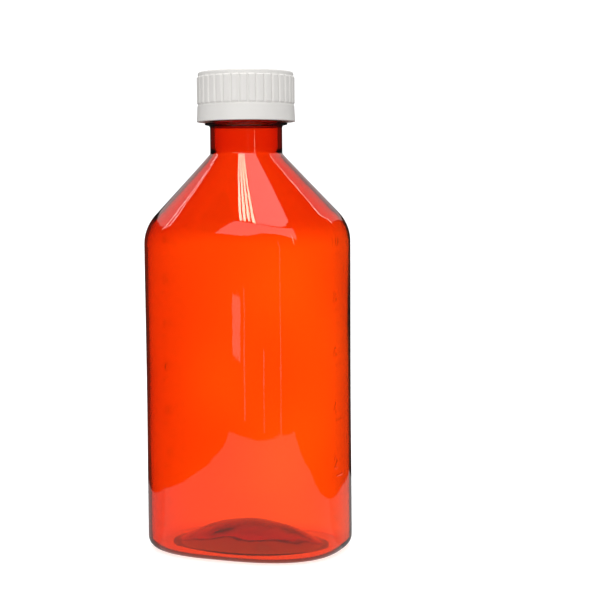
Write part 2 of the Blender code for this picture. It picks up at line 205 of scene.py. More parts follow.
def new_object(name, verts, faces):
    mesh = bpy.data.meshes.new(name)
    mesh.from_pydata(verts, [], faces)
    mesh.validate()
    mesh.shade_smooth()
    obj = bpy.data.objects.new(name, mesh)
    bpy.context.scene.collection.objects.link(obj)
    return obj


def lofted(name, angles, radii, heights):
    """A closed mesh from grids of radius and height, rows by angles. The end rows are poles."""
    rows, columns = radii.shape
    x = radii * np.cos(angles)
    y = radii * np.sin(angles)
    body = np.stack([x, y, np.broadcast_to(heights, radii.shape)], axis=-1)[1:-1].reshape(-1, 3)
    first, last = (0, 0, float(heights[0].mean())), (0, 0, float(heights[-1].mean()))
    verts = [first, *map(tuple, body.tolist()), last]
    grid = np.arange(1, (rows - 2) * columns + 1).reshape(rows - 2, columns)
    beside = np.roll(grid, -1, axis=1)
    quads = np.stack([grid[:-1], beside[:-1], beside[1:], grid[1:]], axis=-1).reshape(-1, 4).tolist()
    end = len(verts) - 1
    fans = [(0, int(b), int(a)) for a, b in zip(grid[0], beside[0])]
    fans += [(end, int(a), int(b)) for a, b in zip(grid[-1], beside[-1])]
    return new_object(name, verts, quads + fans)


def smooth(value):
    """Eases a share from 0 to 1, level at both ends."""
    value = np.clip(value, 0.0, 1.0)
    return value * value * (3 - 2 * value)


# --- Bottle ---------------------------------------------------------------------------------------


def oval_radius(angles, half_width, half_depth, squareness):
    """Radius at each angle of a superellipse, which is an ellipse where squareness is 2."""
    across = np.abs(np.cos(angles) / half_width) ** squareness
    deep = np.abs(np.sin(angles) / half_depth) ** squareness
    return (across + deep) ** (-1 / squareness)


def lean_from(body_radius):
    """Lean from the vertical of a shoulder that is as high as it should be, for this radius."""
    across = body_radius - SHOULDER_RADIUS - NECK_RADIUS
    reach = math.hypot(across, SHOULDER_HEIGHT)
    return math.atan2(across, SHOULDER_HEIGHT) + math.asin(SHOULDER_RADIUS / reach)


def shoulder_lean(angles):
    """The lean at each angle, which passes from the ends' to the wide sides' as an ellipse does."""
    ends, sides = math.tan(lean_from(HALF_WIDTH)), math.tan(lean_from(HALF_DEPTH))
    return np.arctan(1 / np.hypot(np.cos(angles) / ends, np.sin(angles) / sides))


def shoulder_foot(body_radius, corner_radius, lean, inset):
    """Height where the side starts to round into the shoulder, this far inside the outer one."""
    tangent_r = body_radius - corner_radius * (1 - np.cos(lean))
    root_r = NECK_RADIUS - inset / np.cos(lean)
    return SHOULDER_TOP_Z - (tangent_r - root_r) / np.tan(lean) - corner_radius * np.sin(lean)


def waist(z):
    """How far the side draws in at a height."""
    share = np.clip((z - HEEL_RADIUS) / (SHOULDER_FOOT_Z - HEEL_RADIUS), 0, 1)
    return BODY_WAIST * np.sin(math.pi * share) ** 2


def inner_area():
    """Area of the cavity's oval."""
    shape = 4 * math.gamma(1 + 1 / SQUARENESS) ** 2 / math.gamma(1 + 2 / SQUARENESS)
    return shape * (HALF_WIDTH - BODY_WALL) * (HALF_DEPTH - BODY_WALL)


def graduations(step, unit):
    """(height, label) of each mark of a scale, this volume apart, up to the shoulder."""
    rise = step / inner_area()
    first = GRADUATION_FIRST_Z + (step - OUNCE_STEP) / inner_area()
    top = SHOULDER_FOOT_Z - MARK_WIDTH
    count = int((top - first) / rise) + 1
    return [(first + rise * i, str(unit * (i + 1))) for i in range(count)]


# Each scale with the end that carries it: fluid ounces at +X, millilitres at -X.
SCALES = ((1, graduations(OUNCE_STEP, 2)), (-1, graduations(MILLILITRE_STEP, 50)))


def bow(cx, cy, rx, ry, start, end, steps=14):
    """Points of a curved stroke in a numeral's unit box, angles in degrees."""
    turns = np.radians(np.linspace(start, end, steps))
    return [(cx + rx * math.cos(t), cy + ry * math.sin(t)) for t in turns]


STROKES = {
    "0": [bow(0.5, 0.5, 0.38, 0.48, 0, 360, 24)],
    "1": [[(0.25, 0.78), (0.55, 0.98), (0.55, 0.02)]],
    "2": [bow(0.5, 0.68, 0.38, 0.30, 165, -35) + [(0.12, 0.02), (0.90, 0.02)]],
    "3": [bow(0.47, 0.74, 0.34, 0.24, 150, -80), bow(0.47, 0.27, 0.40, 0.26, 85, -150)],
    "4": [[(0.66, 0.02), (0.66, 0.98), (0.08, 0.30), (0.94, 0.30)]],
    "5": [[(0.84, 0.98), (0.20, 0.98), (0.16, 0.54)] + bow(0.48, 0.32, 0.40, 0.30, 130, -150)],
    "6": [bow(0.5, 0.30, 0.36, 0.28, 0, 360, 20), [(0.15, 0.36), (0.30, 0.72), (0.66, 0.98)]],
    "8": [bow(0.5, 0.74, 0.30, 0.24, 0, 360, 20), bow(0.5, 0.26, 0.38, 0.26, 0, 360, 20)],
}


def stroke_distance(u, v, points):
    """Distance from each (u, v) to a polyline, all in metres."""
    best = np.full(u.shape, np.inf)
    for (x0, y0), (x1, y1) in zip(points, points[1:]):
        dx, dy = x1 - x0, y1 - y0
        share = np.clip(((u - x0) * dx + (v - y0) * dy) / max(dx * dx + dy * dy, 1e-18), 0, 1)
        best = np.minimum(best, np.hypot(u - x0 - share * dx, v - y0 - share * dy))
    return best


def ridge(distance, width, relief):
    """A raised line with a rounded top and soft feet."""
    return relief * smooth(1.25 - distance / (width / 2) * 0.75)


def marks_relief(x, y, z):
    """How far the marks and numerals stand out of the narrow ends, at each grid point."""
    relief = np.zeros(z.shape)
    for side, scale in SCALES:
        u = side * y
        near_end = x * side > 0.8 * HALF_WIDTH
        for height, label in scale:
            bar = [(-MARK_OFFSET - MARK_LENGTH / 2, height)]
            bar.append((-MARK_OFFSET + MARK_LENGTH / 2, height))
            near = near_end & (np.abs(z - height) < 2 * NUMERAL_HEIGHT)
            if not near.any():
                continue
            here_u, here_z = u[near], z[near]
            found = ridge(stroke_distance(here_u, here_z, bar), MARK_WIDTH, MARK_RELIEF)
            left = -NUMERAL_OFFSET - NUMERAL_ADVANCE * len(label) / 2
            for i, digit in enumerate(label):
                for stroke in STROKES[digit]:
                    placed = [
                        (left + i * NUMERAL_ADVANCE + px * NUMERAL_WIDTH,
                         height + NUMERAL_RISE + (py - 0.5) * NUMERAL_HEIGHT)
                        for px, py in stroke
                    ]
                    lines = stroke_distance(here_u, here_z, placed)
                    found = np.maximum(found, ridge(lines, NUMERAL_STROKE, MARK_RELIEF))
            relief[near] = np.maximum(relief[near], found)
    return relief


def thread_relief(angles, z, turns, start_angle, start_z):
    """Height of a helical ridge above its cylinder, at each grid point."""
    relief = np.zeros(z.shape)
    whole = 2 * math.pi * turns
    for lap in range(-1, 4):
        turned_by = angles + 2 * math.pi * lap - start_angle
        center = start_z + THREAD_PITCH * turned_by / (2 * math.pi)
        fade = smooth(np.minimum(turned_by, whole - turned_by) / THREAD_FADE)
        root, tip = THREAD_ROOT_WIDTH / 2, THREAD_TIP_WIDTH / 2
        flank = smooth((root - np.abs(z - center)) / (root - tip))
        relief = np.maximum(relief, THREAD_DEPTH * fade * flank)
    return relief


def bottle_angles():
    """Columns: even all round, and close together across the marks and seams."""
    even = np.arange(0, 360, 2.5)
    fine = np.arange(-19.0, 1.5, 0.36)
    angles = np.concatenate([even, fine, fine + 180.0]) % 360
    angles = np.unique(np.round(angles, 3))
    keep = [angles[0]]
    for a in angles[1:]:
        if a - keep[-1] > 0.2:
            keep.append(a)
    return np.radians(np.array(keep))


def side_shares():
    """Rows up the body's side as shares of it: even, and close together at the marks."""
    low, high = HEEL_RADIUS, SHOULDER_FOOT_Z
    mark_row, numeral_row, least = 0.15 * MM, 0.2 * MM, 0.09 * MM
    rows = list(np.linspace(low, high, 56))
    for _, scale in SCALES:
        for height, _ in scale:
            rows += list(np.arange(height - MARK_WIDTH, height + MARK_WIDTH + 0.01 * MM, mark_row))
            middle, half = height + NUMERAL_RISE, NUMERAL_HEIGHT / 2 + 0.4 * MM
            rows += list(np.arange(middle - half, middle + half, numeral_row))
    rows = sorted(r for r in rows if low < r < high)
    keep = [rows[0]]
    for r in rows[1:]:
        if r - keep[-1] > least:
            keep.append(r)
    return (np.array(keep) - low) / (high - low)


def body_rows(angles, inset, floor_z, shares):
    """Radius and height rows: push-up, ring, heel, side, shoulder, and on to the neck's root."""
    radius = oval_radius(angles, HALF_WIDTH - inset, HALF_DEPTH - inset, SQUARENESS)
    ones = np.ones_like(radius)
    rim = oval_radius(
        angles,
        HALF_WIDTH - HEEL_RADIUS - CONTACT_RING,
        HALF_DEPTH - HEEL_RADIUS - CONTACT_RING,
        2.0,
    )
    heel, corner = HEEL_RADIUS - inset, SHOULDER_RADIUS - inset
    lean = shoulder_lean(angles)
    foot = shoulder_foot(radius, corner, lean, SHOULDER_WALL if inset else 0.0)
    rise = PUSH_UP_HEIGHT + (PUSH_UP_WALL - BASE_WALL if inset else 0.0)
    rows = []
    for share in np.linspace(0, 1, 30):
        flow = push_up_flow(angles, rim * share) * (1 - share**2) * share if inset else 0.0
        rows.append((rim * share, ones * (floor_z + rise * (1 - share**2)) + flow))
    for share in (0.15, 0.5, 0.85):
        rows.append((rim + (radius - heel - rim) * share, ones * floor_z))
    for a in np.linspace(-math.pi / 2, 0, 15):
        z = floor_z + heel + heel * math.sin(a)
        rows.append((radius - heel + heel * math.cos(a), ones * z))
    for share in shares:
        z = floor_z + HEEL_RADIUS + (foot - floor_z - HEEL_RADIUS) * share
        rows.append((radius - waist(z), z))
    for share in np.linspace(0, 1, 20):
        turn = lean * share
        rows.append((radius - corner + corner * np.cos(turn), foot + corner * np.sin(turn)))
    return rows


def straight_rows(start, end, count):
    """Rows between two rows, without either."""
    return [
        tuple(a + (b - a) * share for a, b in zip(start, end))
        for share in np.linspace(0, 1, count + 2)[1:-1]
    ]


def filleted_rows(corner, above, below, count):
    """Rows that curve from above to below, round a corner between them."""
    return [
        tuple(
            (1 - t) ** 2 * a + 2 * t * (1 - t) * c + t**2 * b
            for a, c, b in zip(above, corner, below)
        )
        for t in np.linspace(0, 1, count)
    ]


def wall_ripple(angles, z):
    """Slow unevenness of a blown wall, which is also thicker on its -X side, in metres."""
    ripple = np.sin(3 * angles + z / (9 * MM)) + 0.7 * np.sin(5 * angles - z / (14 * MM) + 1.3)
    ripple = WALL_RIPPLE * (ripple + 0.5 * np.sin(z / (5.5 * MM) + 2 * angles))
    return ripple + PARISON_SHIFT * np.cos(angles)


def push_up_flow(angles, radii):
    """Flow marks where the plastic chilled in the middle of the base, in metres."""
    x, y = radii * np.cos(angles), radii * np.sin(angles)
    bent = x + 3 * MM * np.sin(y / (3.1 * MM))
    cross = np.sin(y / (1.6 * MM) + np.sin(x / (4 * MM)))
    return PUSH_UP_FLOW * (np.sin(bent / (2.3 * MM)) + 0.8 * cross)


def finish_outline(thread_rows):
    """The neck's outline from above its root, over the collar and thread, to inside the lip."""
    collar_foot = COLLAR_TOP_Z - COLLAR_HEIGHT
    outside = rounded(
        [
            (NECK_RADIUS, SHOULDER_TOP_Z + NECK_ROOT_RADIUS),
            (NECK_RADIUS, collar_foot - COLLAR_TAPER, 1.0 * MM),
            (COLLAR_RADIUS, collar_foot, 0.25 * MM),
            (COLLAR_RADIUS, COLLAR_TOP_Z, 0.25 * MM),
            (NECK_RADIUS, COLLAR_TOP_Z, 0.2 * MM),
            (NECK_RADIUS, thread_rows[0]),
        ],
        0.2 * MM, steps=5, straight=0.6 * MM,
    )
    lip = rounded(
        [
            (NECK_RADIUS, thread_rows[-1]),
            (NECK_RADIUS, MOUTH_Z, 0.45 * MM),
            (BORE_RADIUS, MOUTH_Z, 0.35 * MM),
            (BORE_RADIUS, SHOULDER_TOP_Z + 2 * THROAT_RADIUS),
        ],
        0.3 * MM, steps=6, straight=0.9 * MM,
    )
    threaded = [(NECK_RADIUS, z) for z in thread_rows[1:-1]]
    return list(map(tuple, outside)) + threaded + list(map(tuple, lip))


def bottle_mesh():
    """One shell: up its outside, over the lip, and down its inside to the push-up."""
    angles = bottle_angles()
    ones = np.ones_like(angles)
    lean = shoulder_lean(angles)
    rows = body_rows(angles, 0.0, 0.0, side_shares())
    root = [
        (
            NECK_RADIUS + NECK_ROOT_RADIUS * (1 + np.cos(turn)),
            SHOULDER_TOP_Z + NECK_ROOT_RADIUS * (np.tan(lean / 2) + np.sin(turn)),
        )
        for turn in (math.pi + lean * share for share in np.linspace(1, 0, 8))
    ]
    rows += straight_rows(rows[-1], root[0], 16) + root
    last_outside = len(rows)
    thread_rows = np.arange(COLLAR_TOP_Z + 0.25 * MM, MOUTH_Z - 1.0 * MM, THREAD_ROW)
    finish = finish_outline(thread_rows)
    rows += [(ones * r, ones * z) for r, z in finish]
    last_finish = len(rows)

    inside = body_rows(angles, BODY_WALL, BASE_WALL, np.linspace(0, 1, 40)[1:-1])
    root_drop = (BORE_RADIUS - NECK_RADIUS + SHOULDER_WALL / np.cos(lean)) / np.tan(lean)
    throat = (ones * BORE_RADIUS, SHOULDER_TOP_Z - root_drop)
    above = (throat[0], throat[1] + THROAT_RADIUS)
    below = (
        throat[0] + THROAT_RADIUS * np.sin(lean),
        throat[1] - THROAT_RADIUS * np.cos(lean),
    )
    rows += straight_rows(rows[-1], above, 4) + filleted_rows(throat, above, below, 10)
    rows += straight_rows(rows[-1], inside[-1], 14)
    first_inside = len(rows)
    rows += inside[::-1]
    radii = np.array([r for r, _ in rows])
    heights = np.array([z for _, z in rows])

    index = np.arange(len(rows))[:, None]
    x, y = radii * np.cos(angles), radii * np.sin(angles)
    relief = np.zeros(radii.shape)
    outside = slice(0, last_outside)
    relief[outside] = marks_relief(x[outside], y[outside], heights[outside])
    on_seam = (index < last_outside) & (heights > HEEL_RADIUS / 2)
    seam = ridge(np.abs(y), SEAM_WIDTH, SEAM_RELIEF)
    relief = np.maximum(relief, np.where(on_seam, seam, 0.0))
    threaded = (index >= last_outside) & (index < last_finish)
    threaded = threaded & (radii > NECK_RADIUS - 1e-7) & (heights > COLLAR_TOP_Z + 0.2 * MM)
    grid_angles = np.broadcast_to(angles, radii.shape)
    thread = thread_relief(grid_angles, heights, THREAD_TURNS, 0.0, THREAD_START_Z)
    relief = relief + np.where(threaded, thread, 0.0)
    uneven = (index >= first_inside) & (radii > RIPPLE_RADIUS)
    ripple = np.where(uneven, wall_ripple(angles, heights), 0.0)
    return lofted("bottle_shell", angles, radii + relief + ripple, heights)


# --- Closure --------------------------------------------------------------------------------------


def lug_relief(angles, radii, phase, turning):
    """Height of the ratchet lugs on a flat face, as a share of a full lug."""
    pitch = 2 * math.pi / LUG_COUNT
    offset = ((angles - phase + pitch / 2) % pitch - pitch / 2) * turning
    share = offset / (LUG_ANGLE / 2)
    ramp = np.where(share > 0, 1 - (1 - LUG_RAMP) * share, 1.0)
    soft = 0.14
    edges = smooth((1 - np.abs(share)) / soft + 0.5)
    radial = smooth((radii - LUG_INNER_RADIUS) / LUG_ROUNDING + 0.5)
    radial = radial * smooth((LUG_OUTER_RADIUS - radii) / LUG_ROUNDING + 0.5)
    return ramp * edges * radial


def even_angles(count):
    return np.arange(count) * 2 * math.pi / count


def turned_grid(profile, angles):
    """Grids of radius and height for a (r, z) profile turned round the axis."""
    radii = np.repeat(profile[:, :1], len(angles), axis=1)
    heights = np.repeat(profile[:, 1:], len(angles), axis=1)
    return radii, heights


def outer_cap_mesh():
    per_rib = 18
    angles = even_angles(RIB_COUNT * per_rib)
    crest = BAND_TOP_RADIUS + RIB_HEIGHT
    wall = BAND_TOP_RADIUS - GROOVE_DEPTH
    top = OUTER_HIGH.z
    rib_top = top - RIB_TOP_DROP
    profile = rounded(
        [
            (0.0, OUTER_CEILING_Z),
            (LUG_INNER_RADIUS - LUG_MARGIN, OUTER_CEILING_Z),
            (LUG_OUTER_RADIUS + LUG_MARGIN, OUTER_CEILING_Z),
            (OUTER_BORE, OUTER_CEILING_Z, 0.4 * MM),
            (OUTER_BORE, RETAINER_TOP_Z, 0.15 * MM),
            (RETAINER_RADIUS, RETAINER_TOP_Z, 0.2 * MM),
            (RETAINER_RADIUS, OUTER_LOW.z, 0.3 * MM),
            (BAND_BOTTOM_RADIUS, OUTER_LOW.z, 0.22 * MM),
            (BAND_TOP_RADIUS + 0.1 * MM, BAND_TOP_Z - 0.45 * MM, 0.1 * MM),
            (wall, BAND_TOP_Z, 0.05 * MM),
            (wall, BAND_TOP_Z + 0.1 * MM, 0.05 * MM),
            (crest, BAND_TOP_Z + 0.55 * MM, 0.2 * MM),
            (crest, rib_top - 0.4 * MM, 0.3 * MM),
            (wall, rib_top, 0.3 * MM),
            (wall, top, 1.3 * MM),
            (0.0, top),
        ],
        0.2 * MM, steps=7, straight=0.5 * MM,
    )
    radii, heights = turned_grid(profile, angles)
    rib = (angles * RIB_COUNT / (2 * math.pi)) % 1.0
    groove = smooth(1 - np.abs(rib - 0.5) / 0.22)
    on_ribs = (radii > wall) & (heights > BAND_TOP_Z + 0.05 * MM)
    radii = np.where(on_ribs, radii - (radii - wall) * groove, radii)
    on_ceiling = np.abs(heights - OUTER_CEILING_Z) < 1e-6
    lugs = lug_relief(angles, radii, math.pi / LUG_COUNT, -1)
    heights = heights - np.where(on_ceiling, LUG_HEIGHT * lugs, 0.0)
    return lofted("outer_cap_shell", angles, radii[::-1], heights[::-1])


def inner_cap_mesh():
    angles = even_angles(288)
    profile = rounded(
        [
            (0.0, INNER_CEILING_Z),
            (INNER_CAP_BORE, INNER_CEILING_Z, 0.4 * MM),
            (INNER_CAP_BORE, INNER_LOW.z, 0.15 * MM),
            (INNER_CAP_RADIUS, INNER_LOW.z, 0.2 * MM),
            (INNER_CAP_RADIUS, INNER_TOP_Z, 0.45 * MM),
            (LUG_OUTER_RADIUS + LUG_MARGIN, INNER_TOP_Z),
            (LUG_INNER_RADIUS - LUG_MARGIN, INNER_TOP_Z),
            (0.0, INNER_TOP_Z),
        ],
        0.2 * MM, steps=6, straight=0.2 * MM,
    )
    radii, heights = turned_grid(profile, angles)
    drop = (THREAD_ROOT_WIDTH + THREAD_TIP_WIDTH) / 2 + THREAD_GAP
    start_z = INNER_LOW.z + THREAD_ROOT_WIDTH / 2
    start_angle = 2 * math.pi * (start_z + drop - THREAD_START_Z) / THREAD_PITCH
    in_bore = np.abs(radii - INNER_CAP_BORE) < 1e-6
    grid_angles = np.broadcast_to(angles, radii.shape)
    thread = thread_relief(grid_angles, heights, 1.0, start_angle, start_z)
    radii = radii - np.where(in_bore, thread, 0.0)
    on_top = np.abs(heights - INNER_TOP_Z) < 1e-6
    lugs = lug_relief(angles, radii, 0.0, 1)
    heights = heights + np.where(on_top, LUG_HEIGHT * lugs, 0.0)
    return lofted("inner_cap_shell", angles, radii[::-1], heights[::-1])


def liner_mesh():
    angles = even_angles(144)
    radius, low, high = LINER_HIGH.x, LINER_LOW.z, LINER_HIGH.z
    profile = rounded(
        [(0.0, low), (radius, low, 0.25 * MM), (radius, high, 0.25 * MM), (0.0, high)],
        0.25 * MM, steps=5, straight=0.5 * MM,
    )
    radii, heights = turned_grid(profile, angles)
    # The lip of the mouth has pressed a shallow ring into the foam.
    seat = (BORE_RADIUS + NECK_RADIUS) / 2
    dent = LIP_DENT * np.exp(-(((radii - seat) / LIP_DENT_WIDTH) ** 2))
    heights = heights + np.where(heights < low + 1e-6, dent, 0.0)
    return lofted("liner_disc", angles, radii, heights)


def rounded_section(inner, outer, low, high, corner, steps=3):
    """A closed rounded rectangle of (r, z) points."""
    points = []
    for cr, cz, start in (
        (outer - corner, low + corner, -90), (outer - corner, high - corner, 0),
        (inner + corner, high - corner, 90), (inner + corner, low + corner, 180),
    ):
        points += arc(cr, cz, corner, math.radians(start), math.radians(start + 90), steps)
    return points


def swept(sections, closed):
    """Verts and faces of a tube through sections of 3-D points, capped unless closed."""
    size = len(sections[0])
    verts = [tuple(p) for section in sections for p in section]
    faces = []
    count = len(sections)
    for i in range(count if closed else count - 1):
        for k in range(size):
            a, b = i * size + k, i * size + (k + 1) % size
            c, d = ((i + 1) % count) * size + (k + 1) % size, ((i + 1) % count) * size + k
            faces.append((a, d, c, b))
    if not closed:
        faces.append(tuple(range(size)))
        faces.append(tuple(reversed(range((count - 1) * size, count * size))))
    return verts, faces


def spring_ring_mesh():
    """A flat ring with leaves that rise round it and are free at their far ends."""
    inner, outer = SPRING_HIGH.x - SPRING_WIDTH, SPRING_HIGH.x
    low, high = SPRING_LOW.z, SPRING_HIGH.z
    ring_top = low + LEAF_THICKNESS

    def placed(section, angle):
        return [(r * math.cos(angle), r * math.sin(angle), z) for r, z in section]

    ring = rounded_section(inner, outer, low, ring_top, 0.12 * MM)
    parts = [swept([placed(ring, a) for a in even_angles(144)], True)]
    for leaf in range(LEAF_COUNT):
        start = 2 * math.pi * leaf / LEAF_COUNT
        sections = []
        for share in np.linspace(0, 1, 26):
            rise = (3 - 2 * share) * share**2
            top = ring_top + (high - low - LEAF_THICKNESS) * rise
            under = top - LEAF_THICKNESS * (1 - LEAF_THINNING * share)
            section = rounded_section(inner + LEAF_MARGIN, outer - LEAF_MARGIN, under, top, 0.1 * MM)
            sections.append(placed(section, start + LEAF_ANGLE * share))
        parts.append(swept(sections, False))
    verts, faces = [], []
    for part_verts, part_faces in parts:
        faces += [tuple(i + len(verts) for i in face) for face in part_faces]
        verts += part_verts
    return new_object("spring_ring_leaves", verts, faces)


# --- Materials ------------------------------------------------------------------------------------


class Nodes:
    """Short calls for building one material's node tree."""

    def __init__(self, name):
        self.material = bpy.data.materials.new(name)
        self.material.use_nodes = True
        self.tree = self.material.node_tree
        self.shader = self.tree.nodes["Principled BSDF"]
        self.output = self.tree.nodes["Material Output"]
        self.place = self.add("ShaderNodeTexCoord").outputs["Object"]

    def add(self, kind, **values):
        node = self.tree.nodes.new(kind)
        for key, value in values.items():
            setattr(node, key, value)
        return node

    def link(self, source, target):
        self.tree.links.new(source, target)

    def noise(self, scale, detail=3.0, stretch=(1, 1, 1), roughness=0.5):
        """Noise over the object's own space, scale in waves per metre."""
        mapping = self.add("ShaderNodeMapping")
        mapping.inputs["Scale"].default_value = stretch
        self.link(self.place, mapping.inputs["Vector"])
        noise = self.add("ShaderNodeTexNoise")
        noise.inputs["Scale"].default_value = scale
        noise.inputs["Detail"].default_value = detail
        noise.inputs["Roughness"].default_value = roughness
        self.link(mapping.outputs["Vector"], noise.inputs["Vector"])
        return noise.outputs["Fac"]

    def ranged(self, source, from_low, from_high, to_low, to_high):
        node = self.add("ShaderNodeMapRange")
        for name, value in (
            ("From Min", from_low), ("From Max", from_high), ("To Min", to_low), ("To Max", to_high),
        ):
            node.inputs[name].default_value = value
        self.link(source, node.inputs["Value"])
        return node.outputs["Result"]

    def ramp(self, source, stops):
        node = self.add("ShaderNodeValToRGB")
        while len(node.color_ramp.elements) < len(stops):
            node.color_ramp.elements.new(0.5)
        for element, (position, color) in zip(node.color_ramp.elements, stops):
            element.position = position
            element.color = (*color, 1.0)
        self.link(source, node.inputs["Fac"])
        return node.outputs["Color"]

    def bump(self, layers):
        """Chains bumps of (height source, strength, distance) into the shader's normal."""
        normal = None
        for source, strength, distance in layers:
            node = self.add("ShaderNodeBump")
            node.inputs["Strength"].default_value = strength
            node.inputs["Distance"].default_value = distance
            self.link(source, node.inputs["Height"])
            if normal is not None:
                self.link(normal, node.inputs["Normal"])
            normal = node.outputs["Normal"]
        self.link(normal, self.shader.inputs["Normal"])

    def set(self, **values):
        for key, value in values.items():
            self.shader.inputs[key.replace("_", " ")].default_value = value


ABSORPTION_PER_METRE = 3400.0
ABSORPTION_COLOR = (0.918, 0.700, 0.1, 1.0)


def bottle_material():
    """Clear dyed PET: the colour comes from the thickness of the plastic."""
    n = Nodes("clear_orange_plastic")
    n.set(Base_Color=(1.0, 0.49, 0.15, 1.0), Transmission_Weight=1.0, IOR=1.57)
    haze = n.noise(60.0, 4.0)
    scuffs = n.noise(900.0, 2.0, (1.0, 1.0, 0.12), 0.7)
    rough = n.add("ShaderNodeMath", operation="ADD")
    n.link(n.ranged(haze, 0.35, 0.7, 0.015, 0.045), rough.inputs[0])
    n.link(n.ranged(scuffs, 0.62, 0.8, 0.0, 0.06), rough.inputs[1])
    n.link(rough.outputs[0], n.shader.inputs["Roughness"])
    n.bump([(n.noise(45.0, 2.0, (1, 1, 0.5)), 0.25, 0.0004), (scuffs, 0.03, 0.0001)])
    absorb = n.add("ShaderNodeVolumeAbsorption")
    absorb.inputs["Color"].default_value = ABSORPTION_COLOR
    absorb.inputs["Density"].default_value = ABSORPTION_PER_METRE
    n.link(absorb.outputs["Volume"], n.output.inputs["Volume"])
    return n.material


def moulded_white(name, light, dark, roughness, grain):
    """Moulded polypropylene: faint flow marks, fine spark-eroded grain and dull scuffs."""
    n = Nodes(name)
    clouds = n.noise(90.0, 4.0)
    n.link(n.ramp(clouds, [(0.3, dark), (0.7, light)]), n.shader.inputs["Base Color"])
    scuffs = n.noise(500.0, 3.0, (1, 1, 0.3), 0.65)
    dull = n.ranged(scuffs, 0.35, 0.75, roughness - 0.07, roughness + 0.1)
    n.link(dull, n.shader.inputs["Roughness"])
    n.bump([(n.noise(grain, 2.0), 0.12, 0.0001), (clouds, 0.08, 0.0004)])
    n.set(IOR=1.49)
    return n.material


def liner_material():
    """Closed-cell foam, as fine cells with matt faces."""
    n = Nodes("foamed_liner")
    cells = n.add("ShaderNodeTexVoronoi")
    cells.inputs["Scale"].default_value = 2600.0
    n.link(n.place, cells.inputs["Vector"])
    stops = [(0.0, (0.74, 0.74, 0.71)), (0.6, (0.88, 0.88, 0.86))]
    n.link(n.ramp(cells.outputs["Distance"], stops), n.shader.inputs["Base Color"])
    n.link(n.ranged(n.noise(400.0), 0.3, 0.7, 0.6, 0.8), n.shader.inputs["Roughness"])
    n.bump([(cells.outputs["Distance"], 0.3, 0.0001)])
    return n.material


# --- Pieces ---------------------------------------------------------------------------------------


def finish_piece(obj, node, material):
    """Puts a piece in place of the CAD node of the same body."""
    obj.data.materials.clear()
    obj.data.materials.append(material)
    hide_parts(node)
    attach(obj, node)
    return obj


def make_pieces():
    bottle = finish_piece(bottle_mesh(), "bottle", bottle_material())
    bottle.visible_shadow = False
    white = moulded_white("white_cap", (0.88, 0.86, 0.83), (0.84, 0.82, 0.79), 0.42, 2600.0)
    natural = moulded_white("natural_cap", (0.80, 0.80, 0.77), (0.75, 0.75, 0.72), 0.45, 2200.0)
    pale = moulded_white("natural_spring", (0.74, 0.75, 0.73), (0.68, 0.69, 0.68), 0.4, 1800.0)
    finish_piece(outer_cap_mesh(), "outer_cap", white)
    finish_piece(inner_cap_mesh(), "inner_cap", natural)
    finish_piece(liner_mesh(), "liner", liner_material())
    spring = finish_piece(spring_ring_mesh(), "spring_ring", pale)
    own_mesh(spring)


# --- Studio ---------------------------------------------------------------------------------------

# The studio is laid out as its photographer sees it: u to the right, v away, z up, from a point
# under the bottle.
CAMERA_AZIMUTH = math.radians(20.73)
CAMERA_PITCH = math.radians(4.135)
CAMERA_ROLL = math.radians(-0.44)
CAMERA_DISTANCE = 0.500
CAMERA_SHIFT = 18.2 * MM
CAMERA_HEIGHT = 122.6 * MM
CAMERA_LENS = 86.1
SEEN_WHITE = 1.22
SEEN_THROUGH = 2.1
# Painted shade: the world and the floor turn this dim for rays that crossed a single plastic wall, which
# darkens the bottle's outline.
OUTLINE_PAINTED_SHADE = 0.5
FILL = 0.54
MIRRORED_DARK = 0.02
OVERHEAD_POWER = 1.8
FRONT_POWER = 1.35
SUN_SPREAD = math.radians(60.0)
FLOOR_Z = -0.2 * MM
FLOOR_REACH = 4.0
FLOOR_GLOW = 0.3
CEILING_Z = 0.6
CEILING_FRONT_V = -0.262
CEILING_BACK_V = -0.05
FRONT_V = -0.45
FOLD_V = -0.305
BACK_V = 0.5


def studio_place(u, v, z):
    """The world's point for a point of the studio."""
    return Vector((
        u * math.cos(CAMERA_AZIMUTH) - v * math.sin(CAMERA_AZIMUTH),
        u * math.sin(CAMERA_AZIMUTH) + v * math.cos(CAMERA_AZIMUTH),
        z,
    ))


def card(name, corners, material, mirrored_only=True):
    """A flat card through (u, v, z) corners, seen in reflections alone unless told otherwise."""
    obj = new_object(name, [studio_place(*c) for c in corners], [tuple(range(len(corners)))])
    obj.data.materials.append(material)
    if mirrored_only:
        obj.visible_camera = False
        obj.visible_diffuse = False
        obj.visible_transmission = False
        obj.visible_shadow = False
    return obj


def upright_card(name, u_from, u_to, v, z_from, z_to, material):
    """An upright card that faces the bottle."""
    corners = [(u_from, v, z_from), (u_to, v, z_from), (u_to, v, z_to), (u_from, v, z_to)]
    return card(name, corners, material)


def level_card(name, u_from, u_to, v_from, v_to, z, material, mirrored_only=True):
    """A card that lies flat."""
    corners = [(u_from, v_from, z), (u_to, v_from, z), (u_to, v_to, z), (u_from, v_to, z)]
    return card(name, corners, material, mirrored_only)


def glow(name, radiance, color=(1.0, 1.0, 1.0)):
    """A material that only emits."""
    made = bpy.data.materials.new(name)
    made.use_nodes = True
    tree = made.node_tree
    tree.nodes.remove(tree.nodes["Principled BSDF"])
    light = tree.nodes.new("ShaderNodeEmission")
    light.inputs["Color"].default_value = (*color, 1.0)
    light.inputs["Strength"].default_value = radiance
    tree.links.new(light.outputs["Emission"], tree.nodes["Material Output"].inputs["Surface"])
    return made


